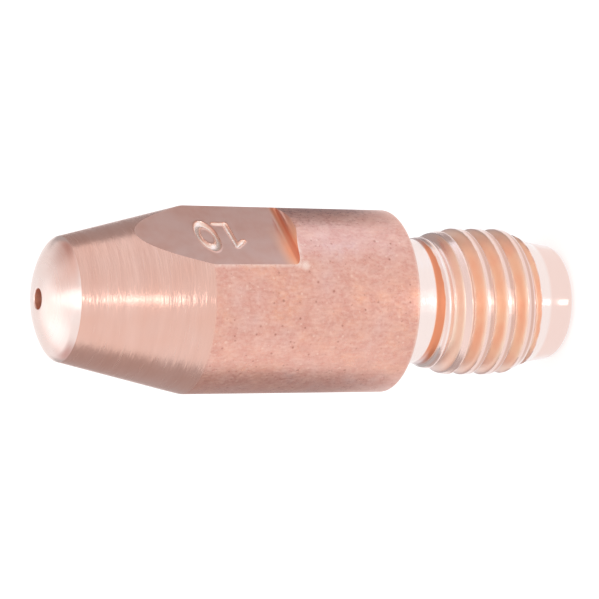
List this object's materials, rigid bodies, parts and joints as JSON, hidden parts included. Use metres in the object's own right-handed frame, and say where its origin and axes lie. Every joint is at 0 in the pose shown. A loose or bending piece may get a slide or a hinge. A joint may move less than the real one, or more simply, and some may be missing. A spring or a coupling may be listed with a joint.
{
  "type": "welding contact tip",
  "caption": "Turned copper contact tip with a domed nose, wire bore, wrench flats, square shoulder and a right-hand thread, guiding and feeding current to welding wire.",
  "frame": {"origin": "centre of the rear end face, on the bore axis", "axes": "+Z along the bore from the rear end to the nose, +X out of one wrench flat"},
  "size_m": [0.01, 0.01, 0.0304],
  "materials": {
    "copper": null
  },
  "bodies": {
    "root": {"contact_tip": "copper"}
  },
  "joints": []
}
